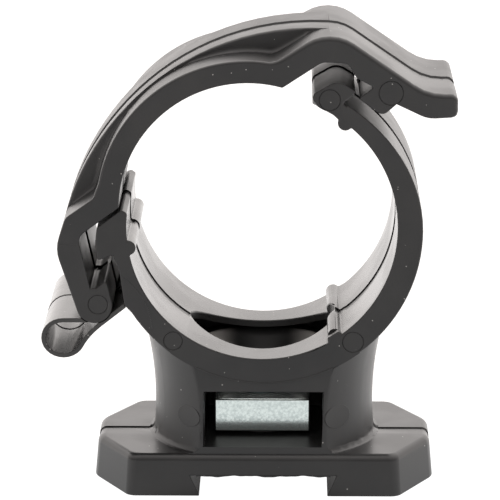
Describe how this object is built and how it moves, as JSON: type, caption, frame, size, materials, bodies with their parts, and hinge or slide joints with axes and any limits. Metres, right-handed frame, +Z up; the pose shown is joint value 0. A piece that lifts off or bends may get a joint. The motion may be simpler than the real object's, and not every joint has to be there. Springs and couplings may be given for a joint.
{
  "type": "snap-in pipe clamp",
  "caption": "Moulded plastic pipe clamp: a round saddle on a waisted pedestal foot, a snap-over strap on a film hinge, and a captive square nut.",
  "frame": {"origin": "on the pipe's axis, at the middle of the clamp's length along the pipe", "axes": "+X to the latch side, seen from the window's side; +Y along the pipe, away from the nut window; +Z up, from the foot to the strap"},
  "size_m": [0.0554, 0.027, 0.0629],
  "materials": {
    "plastic": "satin moulded charcoal plastic",
    "zinc": "bright zinc plating"
  },
  "bodies": {
    "base": {"clamp_base": "plastic", "film_hinge": "plastic", "square_nut": "zinc"},
    "strap": {"closing_strap": "plastic"}
  },
  "joints": [
    {"name": "strap_hinge", "type": "hinge", "parent": "base", "child": "strap", "pos_m": [-0.0266, 0, -0.01515], "axis": [0, -1, 0], "range_deg": [0, 80], "deforming": ["film_hinge"]}
  ]
}
